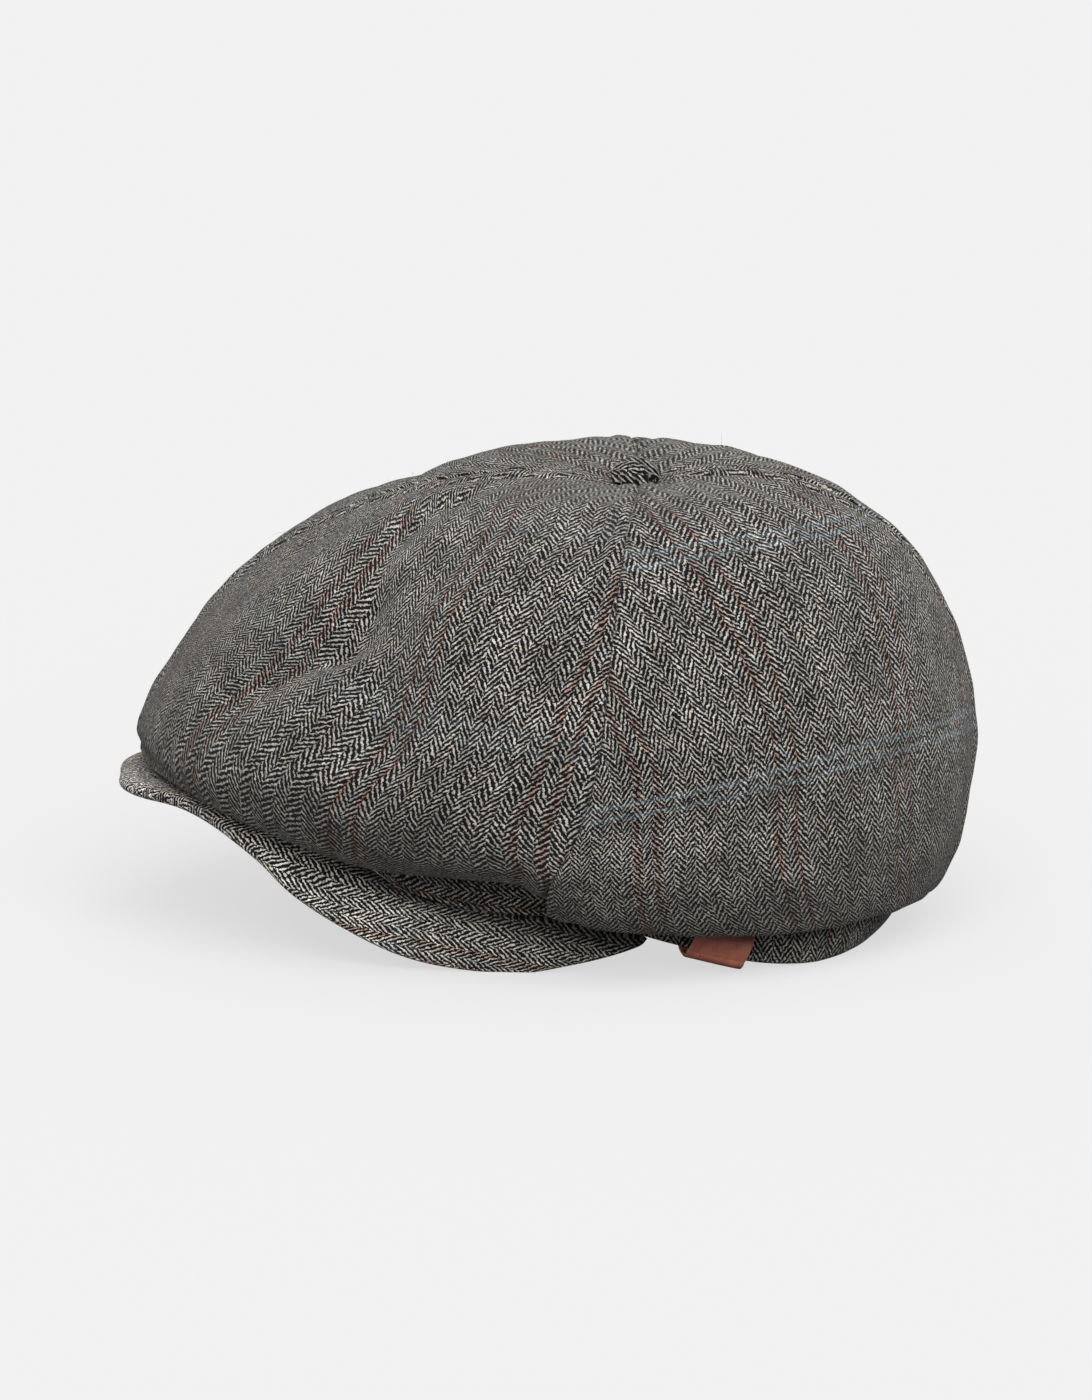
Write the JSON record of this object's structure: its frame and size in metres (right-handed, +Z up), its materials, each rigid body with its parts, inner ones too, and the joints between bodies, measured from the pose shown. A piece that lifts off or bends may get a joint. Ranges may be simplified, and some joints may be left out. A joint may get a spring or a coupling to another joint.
{
  "type": "newsboy flat cap",
  "caption": "Full tweed flat cap with a panelled crown, covered button, band, stiff arched peak and a small leather tab on the band.",
  "frame": {"origin": "on the surface the cap stands on, under the middle of its outline", "axes": "+Z up; the peak points to -Y; the wearer's left is +X"},
  "size_m": [0.2451, 0.2844, 0.1557],
  "materials": {
    "tweed": "matt herringbone wool tweed in light and dark grey with brown and pale blue lines",
    "leather": "smooth brown leather with bare cut edges"
  },
  "bodies": {
    "root": {"crown_panel_front_left": "tweed", "crown_panel_front_right": "tweed", "crown_panel_rear_left": "tweed", "crown_panel_rear_right": "tweed", "band": "tweed", "peak": "tweed", "top_button": "tweed", "leather_tab": "leather"}
  },
  "joints": []
}
